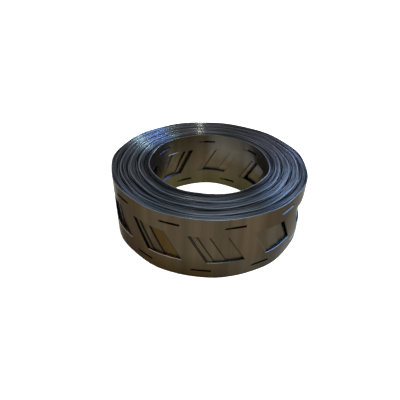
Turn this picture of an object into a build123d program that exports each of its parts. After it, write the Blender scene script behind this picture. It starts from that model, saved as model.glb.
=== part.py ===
from build123d import *
from build123d.topology import SkipClean
import math
import os

# A coil of thin nickel-plated steel strip. It lies on the floor with its bore upright, and the bore's lower
# end is centred on the origin. The strip is punched for two staggered rows of round cells: a short slot at
# each cell, and a leaning window between the cells. Lengths are in millimetres. Angles are in degrees,
# anticlockwise from the front of the coil, which faces -Y. The strip winds inwards anticlockwise, seen from
# above.

# Strip stock and its punching
strip_thickness = 0.20
edge_chamfer = 0.03
cell_pitch = 20.0
row_angle = 60.0
slot_length = 6.7
slot_width = 0.8
slot_to_edge = 3.14
window_length = 12.2
window_height = 10.4
least_bridge = 3.0

# Winding
bore_diameter = 43.8
turn_count = 48
turn_gap = 0.075
end_notch_width = 1.2

# Where a window stands on the outermost turn and on the innermost turn
outer_window_angle = 4.5
inner_window_angle = 168.9

# Sizes that follow from those above
turn_pitch = strip_thickness + turn_gap
bore_radius = bore_diameter / 2
outer_radius = bore_radius + turn_count * turn_pitch - turn_gap
row_offset = cell_pitch * math.sin(math.radians(row_angle)) / 2
strip_width = 2 * (row_offset + slot_to_edge)
mid_height = strip_width / 2
window_band = window_height / 2 + row_offset - slot_width / 2
window_lean = window_height / math.tan(math.radians(row_angle))
turn_groove_depth = slot_to_edge - slot_width
punch_reach = (outer_radius - bore_radius) / 2

# The coil's two round faces: radius, angle of a window, and 1 where the next turns lie towards the axis
coil_faces = [(outer_radius, outer_window_angle, 1), (bore_radius, inner_window_angle, -1)]


def angle_of(length, radius):
    """The angle that a length of strip takes up on a turn."""
    return math.degrees(length / radius)


def on_turn(radius, angle):
    """A point of a turn, seen from above."""
    turn = math.radians(angle)
    return (radius * math.sin(turn), -radius * math.cos(turn))


def wall_plane(radius, angle, height):
    """A plane across a radius: x runs along the strip, y runs up it, and z points away from the axis."""
    outward = Vector(*on_turn(1, angle))
    return Plane(
        origin=outward * radius + Vector(0, 0, height),
        x_dir=outward.rotate(Axis.Z, 90),
        z_dir=outward,
    )


def window_angles(radius, first_angle):
    """Where the windows of a turn stand: as many as its girth has room for, to both sides of the first."""
    girth = 2 * math.pi * radius
    count = int((girth - window_length - least_bridge) / cell_pitch) + 1
    step = angle_of(cell_pitch, radius)
    return [first_angle + step * (number - (count - 1) // 2) for number in range(count)]


def open_stretches(length, face_radius, inward):
    """How much of a hole stays open through each next turn behind it, as two distances along the strip.

    The turns behind have the same holes, but a turn's girth is no whole number of cells, so their holes have
    slipped along. inward is 1 from the outside of the coil, and -1 from its bore.
    """
    stretches = []
    shift, lowest, highest = 0, 0, 0
    while length - (highest - lowest) > slot_width:
        stretches.append((highest - length / 2, lowest + length / 2))
        turns_behind = len(stretches) - 1
        radius = face_radius - inward * (strip_thickness / 2 + turns_behind * turn_pitch)
        girth = 2 * math.pi * radius
        shift += inward * (round(girth / cell_pitch) * cell_pitch - girth)
        lowest = min(lowest, shift)
        highest = max(highest, shift)
    return stretches


def window_outline(low, high, radius):
    """A window's open stretch, drawn flat on the plane that touches the turn."""
    lean = window_lean / 2
    rise = window_height / 2
    lower = [(low + lean, -rise), (high + lean, -rise)]
    upper = [(high - lean, rise), (low - lean, rise)]
    with BuildSketch() as outline:
        with BuildLine():
            Polyline(*[(radius * math.sin(along / radius), up) for along, up in lower + upper], close=True)
        make_face()
    return outline.sketch


def slot_outline(low, high, radius):
    """A slot's open stretch, drawn flat on the plane that touches the turn."""
    start = radius * math.sin(low / radius)
    end = radius * math.sin(high / radius)
    with BuildSketch() as outline:
        with Locations(((start + end) / 2, 0)):
            SlotOverall(end - start, slot_width)
    return outline.sketch


def end_outline():
    """The gap beside a cut end of the strip, over its whole width."""
    with BuildSketch() as outline:
        Rectangle(end_notch_width, strip_width)
    return outline.sketch


def punched_ring(outline, places, face_radius, depth):
    """What an outline takes out of a face of the coil. A depth outwards from the bore is negative."""
    mouth = face_radius + math.copysign(punch_reach, depth)
    floor = face_radius - depth
    with BuildPart() as holes:
        with BuildSketch(*[wall_plane(face_radius + punch_reach, *place) for place in places]):
            add(outline)
        extrude(amount=-2 * punch_reach)
        with BuildSketch():
            Circle(max(mouth, floor))
            Circle(min(mouth, floor), mode=Mode.SUBTRACT)
        extrude(amount=strip_width, mode=Mode.INTERSECT)
    return holes.part


def punched_layers(outline, length, places, face_radius, inward):
    """What holes of one kind take out of a face of the coil, turn behind turn."""
    layers = []
    for turns, (low, high) in enumerate(open_stretches(length, face_radius, inward), start=1):
        opening = outline(low, high, face_radius)
        layers.append(punched_ring(opening, places, face_radius, inward * turns * turn_pitch))
    return layers


def punched_windows():
    """The windows on both faces of the coil."""
    windows = []
    for face_radius, first_angle, inward in coil_faces:
        places = [(angle, mid_height) for angle in window_angles(face_radius, first_angle)]
        windows += punched_layers(window_outline, window_length, places, face_radius, inward)
    return windows


def punched_slots():
    """The slots on both faces: a quarter of a pitch after each window above it, and before it below."""
    slots = []
    for face_radius, first_angle, inward in coil_faces:
        quarter = angle_of(cell_pitch / 4, face_radius)
        places = []
        for angle in window_angles(face_radius, first_angle):
            places.append((angle + quarter, mid_height + row_offset))
            places.append((angle - quarter, mid_height - row_offset))
        slots += punched_layers(slot_outline, slot_length, places, face_radius, inward)
    return slots


def strip_ends():
    """The steps beside the strip's cut ends, one turn deep, half way between two windows."""
    ends = []
    for face_radius, first_angle, inward in coil_faces:
        angles = window_angles(face_radius, first_angle)
        seam = (angles[0] + angles[-1] + 360) / 2
        ends.append(punched_ring(end_outline(), [(seam, mid_height)], face_radius, inward * turn_pitch))
    return ends


def turn_edges():
    """The section through the upper edges of the turns, with a groove from each turn to the next."""
    half_land = strip_thickness / 2 - edge_chamfer
    edges = [(bore_radius, strip_width - edge_chamfer)]
    for turn in range(turn_count):
        middle = bore_radius + strip_thickness / 2 + turn * turn_pitch
        edges.append((middle - half_land, strip_width))
        edges.append((middle + half_land, strip_width))
        edges.append((middle + turn_pitch / 2, strip_width - turn_groove_depth))
    edges[-1] = (outer_radius, strip_width - edge_chamfer)
    return edges


def coil_sections():
    """The coil's section in three bands. A mandrel bears on the plain ones, above and below the windows."""
    head = mid_height + window_band / 2
    upper = [(bore_radius, head), *turn_edges(), (outer_radius, head)]
    lower = [(radius, strip_width - height) for radius, height in reversed(upper)]
    middle = [upper[0], upper[-1], lower[0], lower[-1]]
    return upper, middle, lower


def coil_band(section, punched_out):
    """One band of the wound strip, turned and punched."""
    with BuildPart() as band:
        with BuildSketch(Plane.XZ):
            with BuildLine():
                Polyline(*section, close=True)
            make_face()
        revolve(axis=Axis.Z)
        add(punched_out, mode=Mode.SUBTRACT)
    return band.part


upper, middle, lower = coil_sections()
windows = punched_windows()
slots = punched_slots()
ends = strip_ends()
bands = [coil_band(upper, slots + ends), coil_band(middle, windows + ends), coil_band(lower, slots + ends)]

# The wound strip, as one turned solid whose bands keep their own faces
with SkipClean(), BuildPart() as strip_coil:
    add(bands, clean=False)

strip_coil.part.label = "strip_coil"
os.makedirs("parts", exist_ok=True)
export_step(strip_coil.part, "parts/strip_coil.step")
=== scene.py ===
import math

import bmesh
import bpy
from mathutils import Matrix, Vector


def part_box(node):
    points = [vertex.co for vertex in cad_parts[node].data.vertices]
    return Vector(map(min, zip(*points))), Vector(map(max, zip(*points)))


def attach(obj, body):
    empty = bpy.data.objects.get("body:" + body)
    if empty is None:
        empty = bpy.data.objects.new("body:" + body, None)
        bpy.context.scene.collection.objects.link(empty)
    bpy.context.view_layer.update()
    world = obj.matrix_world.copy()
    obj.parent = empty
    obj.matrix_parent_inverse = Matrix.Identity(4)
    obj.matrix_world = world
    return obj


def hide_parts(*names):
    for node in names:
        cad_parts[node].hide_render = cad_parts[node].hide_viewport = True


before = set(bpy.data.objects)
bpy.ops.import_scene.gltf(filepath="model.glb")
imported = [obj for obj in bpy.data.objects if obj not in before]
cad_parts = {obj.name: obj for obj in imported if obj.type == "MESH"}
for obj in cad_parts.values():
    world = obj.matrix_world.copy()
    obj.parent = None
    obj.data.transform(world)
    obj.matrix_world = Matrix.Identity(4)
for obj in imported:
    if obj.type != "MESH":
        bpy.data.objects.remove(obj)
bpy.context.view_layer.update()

# A coil of nickel-plated strip that lies with its bore upright. The strip is punched flat, cell by cell, and
# then wound. Lengths are in metres. Angles are in radians, anticlockwise from the front of the coil, which
# faces -Y.

MM = 0.001

# The strip is as wide as the coil in the frame is high
coil_low, coil_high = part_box("strip_coil")
STRIP_WIDTH = coil_high[2] - coil_low[2]
MID_HEIGHT = STRIP_WIDTH / 2

# The strip and its punching
STRIP_THICKNESS = 0.20 * MM
CELL_PITCH = 20.0 * MM
CELL_COLUMNS = 8
ROW_ANGLE = math.radians(60)
ROW_OFFSET = CELL_PITCH * math.sin(ROW_ANGLE) / 2
WINDOW_LENGTH = 12.2 * MM
WINDOW_HEIGHT = 10.4 * MM
WINDOW_LEAN = WINDOW_HEIGHT / math.tan(ROW_ANGLE)
SLOT_LENGTH = 6.7 * MM
SLOT_WIDTH = 0.8 * MM
NO_WIDTH = 1e-7
MERGE_WIDTH = 0.01 * MM
SHARP_ANGLE = math.radians(30)

# The winding: the strip starts at the back of the coil and ends in the front of the bore
STRIP_CELLS = 427
WHOLE_TURNS = 47
START_ANGLE = math.radians(-174.8)
END_ANGLE = math.radians(-6.7)
WOUND_ANGLE = END_ANGLE - START_ANGLE + 2 * math.pi * WHOLE_TURNS
FIRST_RADIUS = 35.18 * MM
LAST_RADIUS = 21.66 * MM
PATH_STEPS = 120
FITTING_ROUNDS = 4

# How the turns lie on each other. The strip bends more at its windows, so its turns are wavy. They nest where
# the girth is a whole number of cells, stand apart a little further out, and lie tight up to the next such
# girth.
WAVE_HEIGHT = 0.20 * MM
LEAST_SPACING = STRIP_THICKNESS + 0.005 * MM
LOOSE_SHARE = 0.3
LOOSE_SPREAD = 1.5
EVEN_TURNS = 3
EASING_TURNS = 4
FRONT_BULGE = 0.8 * MM
FRONT_REACH = math.radians(45)
BULGE_EASING = 0.25
NESTING_WIDTH = 0.13
NESTING_RISE = 0.10 * MM

# Lengths along the strip, in cells: a window's half length, the girths of its first and last turn, and where
# one finish gives way to the next
WINDOW_REACH = WINDOW_LENGTH / 2 / CELL_PITCH
FIRST_GIRTH = 2 * math.pi * FIRST_RADIUS / CELL_PITCH
LAST_GIRTH = 2 * math.pi * LAST_RADIUS / CELL_PITCH
OUTERMOST_CELLS = 11
INNERMOST_CELLS = 7
INNER_PAIR_START = STRIP_CELLS - 2 * INNERMOST_CELLS
INNER_PAIR = (STRIP_CELLS - 16, INNER_PAIR_START)
OPEN_BORE = (STRIP_CELLS - 34, INNER_PAIR_START)
BORE_TURNS = (STRIP_CELLS - 60, STRIP_CELLS - 50)
SECOND_TURN = (10, 12)
THIRD_TURN = (20, 23)
GOLDEN_TURNS = (36, 46)

# The range that soft noise mostly keeps to, how closely each pattern of it repeats, and how much it changes
NOISE_RANGE = (0.3, 0.7)
UPRIGHT_BANDS = (600, 600, 25)
BATCH_SCALE = 0.45
BATCH_LEVELS = (0.85, 1.2)
GRAIN_SCALE = 0.25
FINE_LINES = 7.7
TURN_LEVELS = (0.3, 1.7)

# How far the gloss is turned from the strip's length, in whole turns
QUARTER_TURN = 0.25

# Tones of the outer faces, dark warm brown as a painted reflection of a dark room, with painted reflections
# and shade that change up and across the coil over these stretches
WARM_BROWN = (0.04, 0.029, 0.016)
LIGHT_BROWN = (0.05, 0.038, 0.023)
SIDE_GREY = (0.045, 0.044, 0.041)
LOW_AMBER = (0.038, 0.024, 0.004)
LOW_BROWN = (0.02, 0.012, 0.002)
LOW_GREY = (0.045, 0.042, 0.036)
LOW_SILVER = (0.095, 0.095, 0.1)
WINDOW_GOLD = (0.037, 0.022, 0.006)
WINDOW_GREY = (0.066, 0.060, 0.048)
LOW_OUTSIDE = (0, 10 * MM)
GOLDEN_SIDE = (-8 * MM, -2 * MM)
GREY_SIDE = (15 * MM, 24 * MM)

# Tones of the faces round the bore, which are painted reflection, light and shade, and the stretches over
# which they change
BORE_BROWN = (0.052, 0.040, 0.022)
BORE_OLIVE = (0.040, 0.036, 0.012)
BORE_GREY = (0.095, 0.087, 0.070)
BORE_SILVER = (0.11, 0.105, 0.095)
LOW_BORE = (0, 9 * MM)
HIGH_BORE = (11 * MM, 18 * MM)
LIGHT_BORE = (-1 * MM, 2 * MM)
BORE_SIDES = (14 * MM, 18 * MM)
BEHIND_LEVEL = 1.2

# Tones of the punched edges, and where across the coil they lie open to the light: painted highlights and
# reflections on the lit lips, painted shade on the rest
LIP_COPPER = (0.5, 0.38, 0.28)
LIP_GREEN = (0.22, 0.32, 0.3)
LIP_GREY = (0.07, 0.075, 0.09)
LIP_BLUE = (0.22, 0.42, 0.8)
LIP_CYAN = (0.35, 0.65, 0.8)
BORE_LIP_BLUE = (0.1, 0.16, 0.42)
BORE_LIP_GREY = (0.035, 0.05, 0.075)
RIM_BLACK = (0.006, 0.008, 0.009)
RIM_BROWN = (0.1, 0.085, 0.06)
DEEP_LIP_LEVEL = 0.1
SLOT_LIP_SIDE = 22 * MM
BORE_LIP_SIDE = -13 * MM
OPEN_BORE_SIDE = (-14.1 * MM, -13.9 * MM)
MATT_MIDDLE = 1 * MM
MATT_SIDES = (7 * MM, 10 * MM)
PAINTED_LIP_METAL = 0.3

# Tones of the slit edges by the girth of their turn, in cells, dark as a painted reflection of a dark room,
# with painted light and shade, and the tints of painted reflection and light that they take round the coil
SLIT_DARK = (0.03, 0.033, 0.038)
SLIT_LIGHT = (0.1, 0.107, 0.125)
SLIT_NESTED = (0.23, 0.24, 0.26)
NESTED_LINE = (0.02, 0.07)
NESTED_FROM = LAST_GIRTH + 0.5
SHADED_TURNS = (LAST_GIRTH + 0.4, LAST_GIRTH + 0.7)
SHADED_LEVEL = 0.5
NO_TINT = (1, 1, 1)
FRONT_TINT = (0.93, 1.07, 1.18)
FRONT_TINTED = (0.7, 1.1)
LIGHT_TINT = (1.75, 1.75, 2)
LIGHT_SIDE = math.radians(121)
LIGHT_TINTED = (0.15, 0.65)

# The painted shade beside the windows' leaning edges and the painted highlights over some windows, and where
# across the coil they show
SHADE_MARGIN = 0.5 * MM
PAINTED_SHADE_BLACK = (0.003, 0.003, 0.003)
END_MARGINS = 2.2
OUTER_MARGIN = 0.4
LOOSE_MARGIN = 0.7
LOOSE_MIDDLE = 3 * MM
LOOSE_SIDES = (11 * MM, 25 * MM)
OUTER_START_SIDE = (4 * MM, 14 * MM)
OUTER_END_SIDE = (-15 * MM, 5 * MM)
OUTER_END_LEVELS = (0.5, 1)
BORE_START_SIDE = (-15 * MM, -2 * MM)
END_SIDE = (5 * MM, 18 * MM)
GLINT_WIDTH = 0.35 * MM
GLINT_BLUE = (0.3, 0.33, 0.42)
GLINT_SIDE = (-14 * MM, -12 * MM)

# How far an edge's face turns up where it takes the painted lit colour, and at most where it belongs to a
# leaning edge
UPTURNED = (0.7, 0.9)
LEANING = 0.65

# Where the slit edges begin, from the middle of the strip's width
SLIT_START = (MID_HEIGHT - 1 * MM, MID_HEIGHT - 0.8 * MM)

# The floor, the light from all round, and the length that the camera's place was fitted in
FLOOR_SIZE = 4
FLOOR_COLOUR = (0.8, 0.8, 0.8, 1)
FLOOR_GLOW = 0.6
ROOM_LIGHT = 0.6
CAMERA_UNIT = 35.0 * MM


def clear_selection():
    """Leaves nothing selected, so that an operator acts on the new piece alone."""
    if bpy.context.mode != "OBJECT":
        bpy.ops.object.mode_set(mode="OBJECT")
    bpy.ops.object.select_all(action="DESELECT")


def select_faces(piece, wanted):
    """Selects the faces whose middle is wanted, in edit mode, and tells how many there are."""
    mesh = bmesh.from_edit_mesh(piece.data)
    bpy.ops.mesh.select_mode(type="FACE")
    bpy.ops.mesh.select_all(action="DESELECT")
    chosen = [face for face in mesh.faces if wanted(face.calc_center_median())]
    for face in chosen:
        face.select_set(True)
    bmesh.update_edit_mesh(piece.data)
    return len(chosen)


def cut_faces(piece, wanted, point, normal):
    """Cuts the wanted faces along a plane."""
    if select_faces(piece, wanted):
        bpy.ops.mesh.bisect(plane_co=point, plane_no=normal, threshold=NO_WIDTH)


def between(low, high, axis):
    """A test of whether a point lies between two levels of an axis."""
    return lambda point: low < point[axis] < high


def punch_slot(piece, middle, height):
    """Takes a slot out of the flat cell."""
    low, high = height - SLOT_WIDTH / 2, height + SLOT_WIDTH / 2
    start, end = middle - SLOT_LENGTH / 2, middle + SLOT_LENGTH / 2
    for level in (low, high):
        cut_faces(piece, between(0, STRIP_WIDTH, 2), (0, 0, level), (0, 0, 1))
    for edge in (start, end):
        cut_faces(piece, between(low, high, 2), (edge, 0, 0), (1, 0, 0))
    select_faces(piece, lambda point: low < point.z < high and start < point.x < end)
    bpy.ops.mesh.delete(type="FACE")


def punch_window(piece, middle):
    """Takes the leaning window out of the flat cell."""
    low, high = MID_HEIGHT - WINDOW_HEIGHT / 2, MID_HEIGHT + WINDOW_HEIGHT / 2
    start, end = middle - WINDOW_LENGTH / 2, middle + WINDOW_LENGTH / 2
    slope = WINDOW_LEAN / WINDOW_HEIGHT
    for level in (low, high):
        cut_faces(piece, between(0, STRIP_WIDTH, 2), (0, 0, level), (0, 0, 1))
    for edge in (start, end):
        cut_faces(piece, between(low, high, 2), (edge, 0, MID_HEIGHT), (1, 0, slope))

    def in_window(point):
        upright = point.x + slope * (point.z - MID_HEIGHT)
        return low < point.z < high and start < upright < end

    select_faces(piece, in_window)
    bpy.ops.mesh.delete(type="FACE")


def flat_cell():
    """One cell of the flat strip, standing on its edge, with its outer face towards -Y."""
    clear_selection()
    bpy.ops.mesh.primitive_grid_add(
        x_subdivisions=CELL_COLUMNS, y_subdivisions=1, size=1, rotation=(math.pi / 2, 0, 0)
    )
    cell = bpy.context.object
    bpy.ops.object.transform_apply(rotation=True)
    bpy.ops.object.mode_set(mode="EDIT")
    bpy.ops.transform.resize(value=(CELL_PITCH, 1, STRIP_WIDTH))
    bpy.ops.transform.translate(value=(CELL_PITCH / 2, 0, MID_HEIGHT))
    punch_slot(cell, CELL_PITCH * 0.75, MID_HEIGHT + ROW_OFFSET)
    punch_slot(cell, CELL_PITCH * 0.25, MID_HEIGHT - ROW_OFFSET)
    punch_window(cell, CELL_PITCH / 2)
    bpy.ops.object.mode_set(mode="OBJECT")
    return cell


def pressed_apart(wanted):
    """Moves turns that would run into one another apart, along one radius from the outside to the bore."""
    groups = []
    for turn, radius in enumerate(wanted):
        groups.append([radius + turn * LEAST_SPACING, 1])
        while len(groups) > 1 and groups[-1][0] > groups[-2][0]:
            level, count = groups.pop()
            groups[-1][0] = (groups[-1][0] * groups[-1][1] + level * count) / (groups[-1][1] + count)
            groups[-1][1] += count
    levels = [level for level, count in groups for member in range(count)]
    return [level - turn * LEAST_SPACING for turn, level in enumerate(levels)]


def loosened(cells_round):
    """How far out a turn stands, in cells of girth, from where it would lie in an even winding."""
    rest = cells_round % 1
    if rest < LOOSE_SHARE:
        return rest * (LOOSE_SPREAD - 1)
    return (1 - rest) * (LOOSE_SPREAD - 1) * LOOSE_SHARE / (1 - LOOSE_SHARE)


def bulged(angle, share):
    """How far a turn stands out at the front of the coil. The bulge eases in and out along the strip."""
    off_front = (angle + math.pi) % (2 * math.pi) - math.pi
    easing = min(share / BULGE_EASING, 1, (1 - share) / BULGE_EASING)
    return FRONT_BULGE * easing * math.exp(-((off_front / FRONT_REACH) ** 2))


def wound_points(tightening):
    """Points of the spiral that the strip's middle follows, with the waves of its turns."""
    steps = int(WOUND_ANGLE / (2 * math.pi) * PATH_STEPS)
    angles, radii, heights = [], [], []
    along = 0
    for step in range(steps + 1):
        share = step / steps
        even = FIRST_RADIUS - (FIRST_RADIUS - LAST_RADIUS) * (share + tightening * share * (1 - share))
        cells_round = 2 * math.pi * even / CELL_PITCH
        misfit = (cells_round - round(cells_round)) / NESTING_WIDTH
        turns_in = WOUND_ANGLE / (2 * math.pi) * min(share, 1 - share)
        freedom = min(max((turns_in - EVEN_TURNS) / EASING_TURNS, 0), 1)
        slack = freedom * loosened(cells_round) * CELL_PITCH / (2 * math.pi)
        angles.append(START_ANGLE + WOUND_ANGLE * share)
        settled = even + slack + bulged(angles[-1], share)
        wave = -math.cos(2 * math.pi * along / CELL_PITCH)
        radii.append(settled + WAVE_HEIGHT * wave)
        heights.append(NESTING_RISE * math.exp(-misfit * misfit))
        along += settled * WOUND_ANGLE / steps
    for column in range(PATH_STEPS):
        radii[column::PATH_STEPS] = pressed_apart(radii[column::PATH_STEPS])
    return [
        Vector((radius * math.sin(angle), -radius * math.cos(angle), height))
        for angle, radius, height in zip(angles, radii, heights)
    ]


def winding_path():
    """The spiral that the strip's middle follows inwards from the coil's outside, as long as the strip."""
    tightening = 0
    for fitting in range(FITTING_ROUNDS):
        points = wound_points(tightening)
        length = sum((end - start).length for start, end in zip(points, points[1:]))
        # A tightening of 1 shortens the spiral by a sixth of this length
        shortening = WOUND_ANGLE * (FIRST_RADIUS - LAST_RADIUS)
        tightening += 6 * (length - STRIP_CELLS * CELL_PITCH) / shortening
    curve = bpy.data.curves.new("winding_path", "CURVE")
    curve.dimensions = "3D"
    curve.twist_mode = "Z_UP"
    curve.use_path = True
    spline = curve.splines.new("POLY")
    spline.points.add(len(points) - 1)
    for point, place in zip(spline.points, points):
        point.co = (*place, 1)
    path = bpy.data.objects.new("winding_path", curve)
    bpy.context.collection.objects.link(path)
    return path


def wound_strip(face_finish, edge_finish):
    """The whole strip: the cell repeated, wound along the spiral and given its thickness."""
    strip = flat_cell()
    strip.name = strip.data.name = "punched_strip"
    path = winding_path()

    row = strip.modifiers.new("cell_row", "ARRAY")
    row.count = STRIP_CELLS
    row.use_relative_offset = False
    row.use_constant_offset = True
    row.constant_offset_displace = (CELL_PITCH, 0, 0)
    row.use_merge_vertices = True
    row.merge_threshold = MERGE_WIDTH
    row.offset_u = 1

    winding = strip.modifiers.new("winding", "CURVE")
    winding.object = path
    winding.deform_axis = "POS_X"

    gauge = strip.modifiers.new("thickness", "SOLIDIFY")
    gauge.thickness = STRIP_THICKNESS
    gauge.offset = 0
    gauge.material_offset_rim = 1

    strip.data.materials.append(face_finish)
    strip.data.materials.append(edge_finish)
    clear_selection()
    bpy.context.view_layer.objects.active = strip
    strip.select_set(True)
    for modifier in [modifier.name for modifier in strip.modifiers]:
        bpy.ops.object.modifier_apply(modifier=modifier)
    bpy.ops.object.shade_smooth_by_angle(angle=SHARP_ANGLE)
    bpy.data.objects.remove(path, do_unlink=True)
    return strip


def new_metal(name):
    """A metal to be finished, and its shader."""
    material = bpy.data.materials.new(name)
    material.use_nodes = True
    shader = material.node_tree.nodes["Principled BSDF"]
    shader.inputs["Metallic"].default_value = 1
    return material, shader


def joined(material, kind, *sources, **settings):
    """A node with its settings, whose first sockets are fed by other nodes' sockets or by plain values."""
    node = material.node_tree.nodes.new(kind)
    for name, value in settings.items():
        setattr(node, name, value)
    for socket, source in zip(node.inputs, sources):
        if isinstance(source, bpy.types.NodeSocket):
            material.node_tree.links.new(source, socket)
        elif source is not None:
            socket.default_value = source
    return node


def worked(material, operation, *sources):
    """The outcome of a sum."""
    return joined(material, "ShaderNodeMath", *sources, operation=operation).outputs[0]


def product(material, first, *others):
    """Several values multiplied with one another."""
    outcome = first
    for other in others:
        outcome = worked(material, "MULTIPLY", outcome, other)
    return outcome


def largest(material, first, *others):
    """The largest of several values."""
    outcome = first
    for other in others:
        outcome = worked(material, "MAXIMUM", outcome, other)
    return outcome


def apart(material, value, level):
    """How far a value lies from a level, to either side."""
    return worked(material, "ABSOLUTE", worked(material, "SUBTRACT", value, level))


def ranged(material, value, low, high, from_low, from_high):
    """A value brought from one range to another, and kept in it."""
    node = joined(material, "ShaderNodeMapRange", value, from_low, from_high, low, high)
    return node.outputs[0]


def rising(material, value, start, end):
    """A share that is nothing up to the start of a range, and all from its end on."""
    return ranged(material, value, 0, 1, start, end)


def falling(material, value, start, end):
    """A share that is all up to the start of a range, and nothing from its end on."""
    return ranged(material, value, 1, 0, start, end)


def toned(material, share, low, high):
    """A colour between two others."""
    node = joined(material, "ShaderNodeMix", data_type="RGBA")
    material.node_tree.links.new(share, node.inputs["Factor"])
    for socket, colour in ((node.inputs[6], low), (node.inputs[7], high)):
        if isinstance(colour, bpy.types.NodeSocket):
            material.node_tree.links.new(colour, socket)
        else:
            socket.default_value = (*colour, 1)
    return node.outputs[2]


def toned_across(material, across, first, *changes):
    """A colour that changes across the coil, each time over a stretch that is given in millimetres."""
    tone = first
    for start, end, colour in changes:
        tone = toned(material, rising(material, across, start * MM, end * MM), tone, colour)
    return tone


def scaled(material, colour, factor):
    """A colour made lighter or darker."""
    node = joined(material, "ShaderNodeVectorMath", colour, operation="SCALE")
    if isinstance(factor, bpy.types.NodeSocket):
        material.node_tree.links.new(factor, node.inputs["Scale"])
    else:
        node.inputs["Scale"].default_value = factor
    return node.outputs[0]


def noise(material, place, scale):
    """Soft noise at a place of the piece, drawn out by three scales."""
    stretched = joined(material, "ShaderNodeMapping", place, None, None, scale)
    size, detail = 1, 2
    return joined(material, "ShaderNodeTexNoise", stretched.outputs[0], None, size, detail).outputs[0]


def noise_along(material, cells, scale):
    """Soft noise along the strip."""
    grain = joined(material, "ShaderNodeTexNoise", noise_dimensions="1D")
    material.node_tree.links.new(worked(material, "MULTIPLY", cells, scale), grain.inputs["W"])
    return grain.outputs[0]


def grain_along_strip(material, shader):
    """Lets a metal spread its gloss across the strip, as rolling and slitting leave it."""
    along = joined(material, "ShaderNodeTangent", direction_type="RADIAL", axis="Z")
    material.node_tree.links.new(along.outputs[0], shader.inputs["Tangent"])
    shader.inputs["Anisotropic Rotation"].default_value = QUARTER_TURN


def cells_along(material):
    """How far along the strip a point lies, in cells."""
    unrolled = joined(material, "ShaderNodeUVMap").outputs[0]
    return joined(material, "ShaderNodeSeparateXYZ", unrolled).outputs["X"]


def girth_at(material, cells):
    """The girth of the turn that a point lies on, in cells."""
    first_squared, last_squared = FIRST_GIRTH * FIRST_GIRTH, LAST_GIRTH * LAST_GIRTH
    change = (last_squared - first_squared) / STRIP_CELLS
    squared = worked(material, "MULTIPLY_ADD", cells, change, first_squared)
    return worked(material, "SQRT", squared)


def along_window(material, cells, above_middle):
    """How far along its cell a point lies, measured along the windows' lean. Their middle is at a half."""
    slope = WINDOW_LEAN / WINDOW_HEIGHT / CELL_PITCH
    return worked(material, "FRACT", worked(material, "MULTIPLY_ADD", above_middle, slope, cells))


def window_glint(material, cells, across, height):
    """A painted highlight on the upper edges of the innermost turn's windows, at one side of the bore."""
    above_middle = worked(material, "SUBTRACT", height, MID_HEIGHT)
    along = along_window(material, cells, above_middle)
    over = worked(material, "COMPARE", above_middle, (WINDOW_HEIGHT + GLINT_WIDTH) / 2, GLINT_WIDTH / 2)
    beside = worked(material, "COMPARE", along, 0.5, WINDOW_REACH)
    innermost = worked(material, "GREATER_THAN", cells, STRIP_CELLS - INNERMOST_CELLS)
    one_side = falling(material, across, *GLINT_SIDE)
    return product(material, over, beside, innermost, one_side)


def window_edge_shade(material, cells, across, height):
    """How dark the painted shade is on a face beside the leaning edges of a window, standing for edges turned
    away from the light.
    """
    above_middle = worked(material, "SUBTRACT", height, MID_HEIGHT)
    along = along_window(material, cells, above_middle)
    window_start, window_end = 0.5 - WINDOW_REACH, 0.5 + WINDOW_REACH
    on_outside = worked(material, "LESS_THAN", cells, STRIP_CELLS / 2)
    near_bore = worked(material, "GREATER_THAN", cells, INNER_PAIR_START)

    # The margin's width: less on the two outermost turns, more to both sides of the front
    behind = ranged(material, cells, OUTER_MARGIN, 1, *THIRD_TURN)
    off_front = apart(material, across, LOOSE_MIDDLE)
    sideways = ranged(material, off_front, 0, LOOSE_MARGIN, *LOOSE_SIDES)
    widened = worked(material, "ADD", product(material, sideways, on_outside), 1)
    margin = product(material, behind, widened, SHADE_MARGIN / CELL_PITCH)

    # Both painted shade margins of a window, each darkest at its edge
    start_margin = worked(material, "SUBTRACT", window_start, margin)
    end_margin = worked(material, "MULTIPLY_ADD", margin, END_MARGINS, window_end)
    starting = rising(material, along, start_margin, window_start)
    ending = falling(material, along, window_end, end_margin)
    beside = worked(material, "LESS_THAN", worked(material, "ABSOLUTE", above_middle), WINDOW_HEIGHT / 2)

    # Where across the coil each edge's painted shade shows, standing for edges turned away from the light
    outer_start = product(material, falling(material, across, *OUTER_START_SIDE), on_outside)
    outer_end = product(material, ranged(material, across, *OUTER_END_LEVELS, *OUTER_END_SIDE), on_outside)
    bore_start = product(material, falling(material, across, *BORE_START_SIDE), near_bore)
    start_side = largest(material, bore_start, outer_start)
    end_side = largest(material, rising(material, across, *END_SIDE), outer_end)
    later = worked(material, "GREATER_THAN", along, 0.5)
    earlier = worked(material, "SUBTRACT", 1, later)
    facing = worked(material, "MULTIPLY_ADD", end_side, later, product(material, start_side, earlier))
    return product(material, starting, ending, beside, facing)


def outer_tone(material, place, cells, across, height):
    """The tone of the outer turns: warm with faint upright bands, painted reflection greyer at one side, and
    painted shade browner low down.
    """
    bands = rising(material, noise(material, place, UPRIGHT_BANDS), *NOISE_RANGE)
    warm = toned(material, bands, WARM_BROWN, LIGHT_BROWN)
    upper = toned_across(material, across, warm, (18, 33, SIDE_GREY))
    lower = toned_across(
        material, across, LOW_AMBER, (-24, -8, LOW_BROWN), (0, 20, LOW_GREY), (19, 27, LOW_SILVER)
    )
    front = toned(material, falling(material, height, *LOW_OUTSIDE), upper, lower)
    # Painted reflections on the turns seen through the windows: golden at one side, greyer at the other
    behind = rising(material, cells, *GOLDEN_TURNS)
    gold = product(material, behind, falling(material, across, *GOLDEN_SIDE))
    golden = toned(material, gold, front, WINDOW_GOLD)
    second = rising(material, cells, *SECOND_TURN)
    grey = product(material, second, rising(material, across, *GREY_SIDE))
    return toned(material, grey, golden, WINDOW_GREY)


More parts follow.
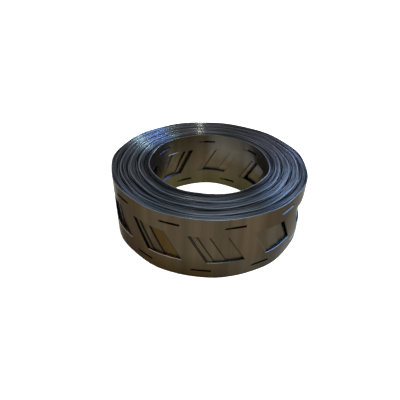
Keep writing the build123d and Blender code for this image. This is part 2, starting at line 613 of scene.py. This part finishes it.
def bore_tone(material, cells, across, height):
    """The tone of the turns round the bore: brown, with painted light making it lighter and greyer high up
    and on the turns behind, and painted shade making it olive low down.
    """
    brown = toned(material, falling(material, height, *LOW_BORE), BORE_BROWN, BORE_OLIVE)
    high = rising(material, height, *HIGH_BORE)
    one_side = product(material, high, rising(material, across, *LIGHT_BORE))
    middle = toned(material, one_side, brown, BORE_GREY)
    off_middle = worked(material, "ABSOLUTE", across)
    both_sides = product(material, high, rising(material, off_middle, *BORE_SIDES))
    whole = toned(material, both_sides, middle, BORE_SILVER)
    return scaled(material, whole, ranged(material, cells, BEHIND_LEVEL, 1, *INNER_PAIR))


def rolled_nickel():
    """The strip's faces: dull metal, toned warm as a painted reflection of a dark room, that differs a little
    from turn to turn, with painted reflections and shade that follow the place on the coil.
    """
    material, shader = new_metal("rolled_nickel")
    place = joined(material, "ShaderNodeTexCoord").outputs["Object"]
    position = joined(material, "ShaderNodeSeparateXYZ", place).outputs
    across, height = position["X"], position["Z"]
    cells = cells_along(material)
    outside = outer_tone(material, place, cells, across, height)
    bore = bore_tone(material, cells, across, height)
    tone = toned(material, rising(material, cells, *BORE_TURNS), outside, bore)
    batch = ranged(material, noise_along(material, cells, BATCH_SCALE), *BATCH_LEVELS, *NOISE_RANGE)
    # Painted shade: the faces go nearly black beside the leaning edges of some windows
    margin = window_edge_shade(material, cells, across, height)
    faced = toned(material, margin, scaled(material, tone, batch), PAINTED_SHADE_BLACK)
    # Painted highlight: a blue glint over the windows at one side of the bore
    faced = toned(material, window_glint(material, cells, across, height), faced, GLINT_BLUE)
    material.node_tree.links.new(faced, shader.inputs["Base Color"])
    grain_along_strip(material, shader)
    shader.inputs["Metallic"].default_value = 0.9
    shader.inputs["Roughness"].default_value = 0.3
    shader.inputs["Anisotropic"].default_value = 0.8
    shader.inputs["Specular Tint"].default_value = (0.37, 0.36, 0.33, 1)
    return material


def outer_lip(material, across):
    """The painted reflection on the lit edges on the outside: copper at one side of the coil, and cyan at the
    other.
    """
    changes = (-12, -4, LIP_GREEN), (2, 9, LIP_GREY), (14, 19, LIP_BLUE), (26, 31, LIP_CYAN)
    return toned_across(material, across, LIP_COPPER, *changes)


def punched_rim(material, cells, across, height, rise):
    """How far a punched edge lies open to the light, and the colour of the punched edges: painted highlights
    and reflections on the lit lips, painted shade elsewhere.
    """
    off_middle = apart(material, height, MID_HEIGHT)
    windowed = worked(material, "LESS_THAN", off_middle, WINDOW_HEIGHT / 2 + SLOT_WIDTH)
    upwards = rising(material, rise, *UPTURNED)

    # Painted lit lips, as painted highlights and reflections: the outermost turn's windows, slots at one
    # side, and round the bore, on more turns at one side
    open_from = ranged(material, across, *OPEN_BORE, *OPEN_BORE_SIDE)
    innermost = worked(material, "GREATER_THAN", cells, open_from)
    on_window = product(material, windowed, worked(material, "LESS_THAN", cells, OUTERMOST_CELLS))
    slot_side = worked(material, "GREATER_THAN", across, SLOT_LIP_SIDE)
    slotted = worked(material, "SUBTRACT", slot_side, windowed)
    on_slot = product(material, slotted, worked(material, "LESS_THAN", cells, 5 * OUTERMOST_CELLS))
    bore_side = worked(material, "LESS_THAN", across, BORE_LIP_SIDE)
    in_bore = product(material, innermost, largest(material, windowed, bore_side))
    lit = product(material, largest(material, on_window, on_slot, in_bore), upwards)
    outer = outer_lip(material, across)
    bore = toned_across(material, across, BORE_LIP_BLUE, (-18, -15, BORE_LIP_GREY))
    lip = toned(material, innermost, outer, bore)

    # Matt leaning edges round the bore, painted a lighter brown than their shade: in its middle, and behind
    # the two innermost turns
    straight_on = falling(material, apart(material, across, MATT_MIDDLE), *MATT_SIDES)
    behind = worked(material, "LESS_THAN", cells, INNER_PAIR_START)
    leaning = worked(material, "LESS_THAN", worked(material, "ABSOLUTE", rise), LEANING)
    round_bore = worked(material, "GREATER_THAN", cells, BORE_TURNS[1])
    matt = product(material, largest(material, straight_on, behind), leaning, round_bore)
    rim = toned(material, matt, RIM_BLACK, RIM_BROWN)

    # Dim lips of the third to the eighth turn, deep in the windows, in painted shade
    deeper = worked(material, "COMPARE", cells, 5 * OUTERMOST_CELLS, 3 * OUTERMOST_CELLS)
    deep = product(material, deeper, windowed, upwards)
    rim = toned(material, deep, rim, scaled(material, outer, DEEP_LIP_LEVEL))
    return largest(material, lit, matt, deep), toned(material, lit, rim, lip)


def side_tint(material, across, back):
    """How the tone of the slit edges differs round the coil: cooler at the front as a painted reflection, and
    lighter at one side as painted light.
    """
    angle = worked(material, "ARCTAN2", across, worked(material, "MULTIPLY", back, -1))
    at_front = falling(material, worked(material, "ABSOLUTE", angle), *FRONT_TINTED)
    at_side = falling(material, apart(material, angle, LIGHT_SIDE), *LIGHT_TINTED)
    return toned(material, at_side, toned(material, at_front, NO_TINT, FRONT_TINT), LIGHT_TINT)


def slit_tone(material, cells):
    """The tone of the slit edges: finely grained, with painted light where the turns nest and on both end
    turns, and painted shade on the turns round the bore.
    """
    girth = girth_at(material, cells)
    off_whole = worked(material, "PINGPONG", girth, 0.5)
    off_bore = worked(material, "GREATER_THAN", girth, NESTED_FROM)
    nested = product(material, falling(material, off_whole, *NESTED_LINE), off_bore)
    outermost = worked(material, "LESS_THAN", cells, FIRST_GIRTH)
    innermost = worked(material, "GREATER_THAN", cells, STRIP_CELLS - LAST_GIRTH)
    light = largest(material, nested, outermost, innermost)
    grain = rising(material, noise_along(material, cells, GRAIN_SCALE), *NOISE_RANGE)
    plain = toned(material, grain, SLIT_DARK, SLIT_LIGHT)
    plain = scaled(material, plain, ranged(material, girth, SHADED_LEVEL, 1, *SHADED_TURNS))
    turn_tone = ranged(material, noise_along(material, girth, FINE_LINES), *TURN_LEVELS, *NOISE_RANGE)
    return toned(material, light, scaled(material, plain, turn_tone), SLIT_NESTED)


def slit_edge():
    """The strip's cut edges: dark metal as a painted reflection of a dark room, grained along the strip, with
    the punched edges in other tones of painted highlight, reflection and shade.
    """
    material, shader = new_metal("slit_edge")
    cells = cells_along(material)
    sources = joined(material, "ShaderNodeTexCoord").outputs
    across, back, height = joined(material, "ShaderNodeSeparateXYZ", sources["Object"]).outputs
    rise = joined(material, "ShaderNodeSeparateXYZ", sources["Normal"]).outputs["Z"]
    tint = side_tint(material, across, back)
    tinted = joined(material, "ShaderNodeVectorMath", slit_tone(material, cells), tint, operation="MULTIPLY")
    punched = falling(material, apart(material, height, MID_HEIGHT), *SLIT_START)
    open_edge, rim = punched_rim(material, cells, across, height, rise)
    # Where the painted highlights and reflections of the lips lie, which are made matt so that their colour
    # shows
    painted_lip = product(material, open_edge, punched)
    edge = toned(material, punched, tinted.outputs[0], rim)
    material.node_tree.links.new(edge, shader.inputs["Base Color"])
    material.node_tree.links.new(ranged(material, painted_lip, 1, PAINTED_LIP_METAL, 0, 1), shader.inputs["Metallic"])
    grain_along_strip(material, shader)
    shader.inputs["Roughness"].default_value = 0.27
    shader.inputs["Anisotropic"].default_value = 0.92
    shader.inputs["Specular Tint"].default_value = (0.5, 0.5, 0.5, 1)
    return material


def pale_floor():
    """A matt floor that glows for the camera, and for what metal or glass shows of it."""
    material = bpy.data.materials.new("pale_floor")
    material.use_nodes = True
    material.node_tree.nodes.clear()
    rays = joined(material, "ShaderNodeLightPath").outputs
    direct = worked(material, "ADD", rays["Is Camera Ray"], rays["Is Transmission Ray"])
    seen = joined(material, "ShaderNodeMath", direct, rays["Is Glossy Ray"], operation="ADD", use_clamp=True)
    strength = worked(material, "MULTIPLY", seen.outputs[0], FLOOR_GLOW)
    glow = joined(material, "ShaderNodeEmission", None, strength)
    matt = joined(material, "ShaderNodeBsdfDiffuse", FLOOR_COLOUR)
    both = joined(material, "ShaderNodeAddShader", matt.outputs[0], glow.outputs[0])
    joined(material, "ShaderNodeOutputMaterial", both.outputs[0])
    return material


def add_floor():
    """A plain pale floor, which the camera and the metal see as white, and which keeps the coil's shadow."""
    clear_selection()
    bpy.ops.mesh.primitive_plane_add(size=FLOOR_SIZE)
    floor = bpy.context.object
    floor.name = "floor"
    floor.data.materials.append(pale_floor())


def add_light(name, place, size, power, colour):
    """A soft lamp that looks at the coil."""
    lamp = bpy.data.lights.new(name, "AREA")
    lamp.shape = "RECTANGLE"
    lamp.size, lamp.size_y = size
    lamp.energy = power
    lamp.color = colour
    thing = bpy.data.objects.new(name, lamp)
    thing.location = place
    towards_coil = Vector((0, 0, MID_HEIGHT)) - Vector(place)
    thing.rotation_euler = towards_coil.to_track_quat("-Z", "Y").to_euler()
    bpy.context.collection.objects.link(thing)


def add_world():
    """Plain soft light from all round."""
    world = bpy.data.worlds.new("studio")
    bpy.context.scene.world = world
    world.use_nodes = True
    background = world.node_tree.nodes["Background"]
    background.inputs["Color"].default_value = (1, 1, 1, 1)
    background.inputs["Strength"].default_value = ROOM_LIGHT


def add_camera():
    """A camera like the photo's: its height, distance, slight roll and lens were fitted to the coil."""
    elevation = math.radians(35.462)
    roll = math.radians(1.64)
    distance = 3.875 * CAMERA_UNIT
    target = Vector((-0.0849, 0, 0.1605)) * CAMERA_UNIT
    frame_pixels, focal_pixels = 400, 342.0
    back = Vector((0, -math.cos(elevation), math.sin(elevation)))
    right = Vector((1, 0, 0))
    up = back.cross(right)
    rolled_right = right * math.cos(roll) + up * math.sin(roll)
    rolled_up = up * math.cos(roll) - right * math.sin(roll)
    lens = bpy.data.cameras.new("camera")
    lens.sensor_width = 36
    lens.lens = focal_pixels / frame_pixels * lens.sensor_width
    lens.clip_start = 5 * MM
    camera = bpy.data.objects.new("camera", lens)
    turn = Matrix((rolled_right, rolled_up, back)).transposed()
    camera.matrix_world = Matrix.Translation(target + back * distance) @ turn.to_4x4()
    bpy.context.collection.objects.link(camera)
    bpy.context.scene.camera = camera


strip = wound_strip(rolled_nickel(), slit_edge())
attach(strip, "root")
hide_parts("strip_coil")

add_floor()
add_world()
add_light("overhead_softbox", place=(0.1, -0.1, 0.5), size=(0.4, 0.4), power=4, colour=(1, 1, 1))
add_light("cool_lamp", place=(-0.118, 0.558, 0.185), size=(0.055, 0.06), power=0.65, colour=(0.25, 0.45, 1))
add_light("edge_lamp", place=(-0.166, 0.546, 0.185), size=(0.018, 0.06), power=0.45, colour=(0.65, 0.92, 1))
add_light("green_lamp", place=(-0.078, 0.565, 0.185), size=(0.008, 0.06), power=0.08, colour=(0.75, 1, 0.7))
add_light("right_lamp", place=(0.157, 0.477, 0.338), size=(0.06, 0.06), power=0.12, colour=(0.45, 0.65, 1))
add_light("back_lamp", place=(-0.0046, 0.138, 0.071), size=(0.0025, 0.013), power=0.0065, colour=(1, 1, 0.75))
add_camera()
bpy.context.scene.view_settings.view_transform = "Standard"
